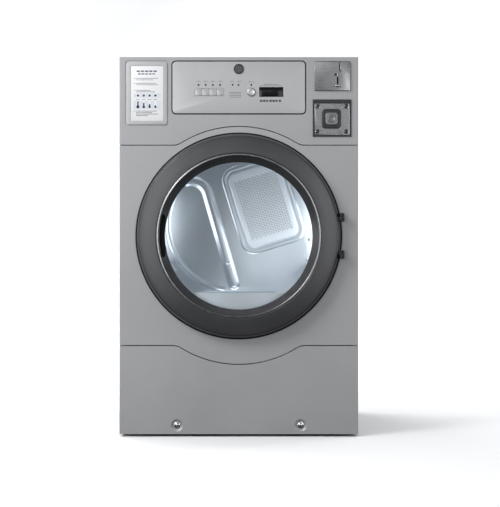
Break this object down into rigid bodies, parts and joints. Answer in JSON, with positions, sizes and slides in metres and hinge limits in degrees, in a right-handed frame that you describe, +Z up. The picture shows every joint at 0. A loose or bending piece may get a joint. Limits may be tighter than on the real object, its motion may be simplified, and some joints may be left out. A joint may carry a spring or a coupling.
{
  "type": "tumble dryer",
  "caption": "Coin-operated commercial tumble dryer: steel cabinet with curved panel seams, round glazed door, drum, blower, coin box and control fascia.",
  "frame": {"origin": "centre of the bounding box's bottom face, on the floor under the machine", "axes": "+Z up, front towards -Y, +X to the viewer's right"},
  "size_m": [0.7366, 0.8141, 1.171],
  "materials": {
    "silver_paint": "satin powder coat",
    "fascia_silver": "fine brushed silver",
    "door_graphite": "graphite metallic moulding",
    "bright_trim": "polished",
    "door_glass": "clear toughened",
    "black_plastic": "moulded",
    "lens_black": "smooth lens",
    "stainless": "brushed stainless",
    "galvanised": "galvanised sheet",
    "screw_steel": "zinc plated",
    "motor_metal": "cast and painted",
    "emblem_grey": "two-tone badge",
    "card_white": "printed card",
    "vault_black": "black enamel",
    "hinge_black": "black enamel",
    "felt": "pressed felt",
    "foot_rubber": "moulded rubber pad on a steel stud",
    "roller_rubber": "rubber tyre",
    "belt_rubber": "ribbed belt",
    "gasket_rubber": "soft seal",
    "filter_plastic": "moulded frame and mesh"
  },
  "bodies": {
    "cabinet": {"upper_front_panel": "silver_paint", "door_panel": "silver_paint", "kick_panel": "silver_paint", "kick_screws": "screw_steel", "left_side_panel": "silver_paint", "right_side_panel": "silver_paint", "top_cover": "silver_paint", "rear_panel": "galvanised", "base_pan": "galvanised", "front_bulkhead": "stainless", "rear_bulkhead": "stainless", "felt_seals": "felt", "lint_duct": "galvanised", "blower_housing": "galvanised", "exhaust_duct": "galvanised", "heater_duct": "galvanised", "motor_housing": "motor_metal", "drive_belt": "belt_rubber", "idler_spring": "screw_steel", "control_fascia": "fascia_silver", "display_window": "lens_black", "control_housing": "black_plastic", "emblem_disc": "emblem_grey", "card_frame": "fascia_silver", "instruction_card": "card_white", "coin_entry_plate": "stainless", "coin_acceptor": "motor_metal", "coin_vault": "vault_black", "door_surround": "black_plastic", "hinge_bracket": "hinge_black", "door_catch": "black_plastic"},
    "door": {"door_outer_ring": "door_graphite", "door_pull_cup": "black_plastic", "door_trim_ring": "bright_trim", "door_glass": "door_glass", "door_inner_frame": "stainless", "door_gasket": "gasket_rubber", "hinge_leaf": "galvanised"},
    "drum": {"drum_shell": "stainless", "drum_lifters": "stainless"},
    "left_roller": {"left_drum_roller": "roller_rubber"},
    "right_roller": {"right_drum_roller": "roller_rubber"},
    "rotor": {"motor_shaft": "screw_steel", "blower_wheel": "black_plastic"},
    "tensioner": {"idler_arm": "galvanised"},
    "tensioner_pulley": {"idler_pulley": "black_plastic"},
    "key_1": {"programme_key_1": "fascia_silver"},
    "key_2": {"programme_key_2": "fascia_silver"},
    "key_3": {"programme_key_3": "fascia_silver"},
    "key_4": {"programme_key_4": "fascia_silver"},
    "start": {"start_button": "bright_trim"},
    "return_lever": {"coin_return_lever": "bright_trim"},
    "coin_drawer": {"coin_box": "stainless"},
    "lock": {"lock_cylinder": "bright_trim"},
    "filter": {"lint_filter": "filter_plastic"},
    "plunger": {"switch_plunger": "black_plastic"},
    "foot_front_left": {"front_left_foot": "foot_rubber"},
    "foot_front_right": {"front_right_foot": "foot_rubber"},
    "foot_rear_left": {"rear_left_foot": "foot_rubber"},
    "foot_rear_right": {"rear_right_foot": "foot_rubber"}
  },
  "joints": [
    {"name": "door_hinge", "type": "hinge", "parent": "cabinet", "child": "door", "pos_m": [0.316, -0.388, 0.619], "axis": [0, 0, 1], "range_deg": [0, 170]},
    {"name": "drum_spin", "type": "hinge", "parent": "cabinet", "child": "drum", "pos_m": [0, -0.039, 0.655], "axis": [0, 1, 0], "continuous": true},
    {"name": "left_roller_spin", "type": "hinge", "parent": "cabinet", "child": "left_roller", "pos_m": [-0.20953, 0.224, 0.35576], "axis": [0, 1, 0], "continuous": true},
    {"name": "right_roller_spin", "type": "hinge", "parent": "cabinet", "child": "right_roller", "pos_m": [0.20953, 0.224, 0.35576], "axis": [0, 1, 0], "continuous": true},
    {"name": "motor_spin", "type": "hinge", "parent": "cabinet", "child": "rotor", "pos_m": [0.15, -0.034, 0.15], "axis": [0, 1, 0], "continuous": true},
    {"name": "tensioner_swing", "type": "hinge", "parent": "cabinet", "child": "tensioner", "pos_m": [0.1, -0.021, 0.095], "axis": [0, -1, 0], "range_deg": [0, 8], "stiffness_Nm_per_rad": 6, "springref_deg": -20.05},
    {"name": "tensioner_pulley_spin", "type": "hinge", "parent": "tensioner", "child": "tensioner_pulley", "pos_m": [0.0627, -0.034, 0.1822], "axis": [0, 1, 0], "continuous": true},
    {"name": "programme_key_1_press", "type": "slide", "parent": "cabinet", "child": "key_1", "axis": [0, 1, 0], "range_m": [0, 0.0015], "stiffness_N_per_m": 900, "springref_m": -0.001},
    {"name": "programme_key_2_press", "type": "slide", "parent": "cabinet", "child": "key_2", "axis": [0, 1, 0], "range_m": [0, 0.0015], "stiffness_N_per_m": 900, "springref_m": -0.001},
    {"name": "programme_key_3_press", "type": "slide", "parent": "cabinet", "child": "key_3", "axis": [0, 1, 0], "range_m": [0, 0.0015], "stiffness_N_per_m": 900, "springref_m": -0.001},
    {"name": "programme_key_4_press", "type": "slide", "parent": "cabinet", "child": "key_4", "axis": [0, 1, 0], "range_m": [0, 0.0015], "stiffness_N_per_m": 900, "springref_m": -0.001},
    {"name": "start_press", "type": "slide", "parent": "cabinet", "child": "start", "axis": [0, 1, 0], "range_m": [0, 0.002], "stiffness_N_per_m": 900, "springref_m": -0.001},
    {"name": "coin_return_lift", "type": "slide", "parent": "cabinet", "child": "return_lever", "axis": [0, 0, 1], "range_m": [0, 0.02], "stiffness_N_per_m": 80, "springref_m": -0.005},
    {"name": "coin_box_slide", "type": "slide", "parent": "cabinet", "child": "coin_drawer", "axis": [0, -1, 0], "range_m": [0, 0.18]},
    {"name": "lock_turn", "type": "hinge", "parent": "coin_drawer", "child": "lock", "pos_m": [0.286, -0.359, 0.9805], "axis": [0, 1, 0], "range_deg": [0, 90]},
    {"name": "lint_filter_lift", "type": "slide", "parent": "cabinet", "child": "filter", "axis": [0, 0, 1], "range_m": [0, 0.115]},
    {"name": "door_switch_press", "type": "slide", "parent": "cabinet", "child": "plunger", "axis": [0, 1, 0], "range_m": [0, 0.004], "stiffness_N_per_m": 300, "springref_m": -0.001},
    {"name": "front_left_foot_adjust", "type": "slide", "parent": "cabinet", "child": "foot_front_left", "axis": [0, 0, -1], "range_m": [0, 0.02]},
    {"name": "front_right_foot_adjust", "type": "slide", "parent": "cabinet", "child": "foot_front_right", "axis": [0, 0, -1], "range_m": [0, 0.02]},
    {"name": "rear_left_foot_adjust", "type": "slide", "parent": "cabinet", "child": "foot_rear_left", "axis": [0, 0, -1], "range_m": [0, 0.02]},
    {"name": "rear_right_foot_adjust", "type": "slide", "parent": "cabinet", "child": "foot_rear_right", "axis": [0, 0, -1], "range_m": [0, 0.02]}
  ],
  "couplings": [
    {"joint": "left_roller_spin", "follows": "drum_spin", "ratio": -9.4286},
    {"joint": "right_roller_spin", "follows": "drum_spin", "ratio": -9.4286},
    {"joint": "motor_spin", "follows": "drum_spin", "ratio": 26.4},
    {"joint": "tensioner_pulley_spin", "follows": "drum_spin", "ratio": -16.5}
  ]
}
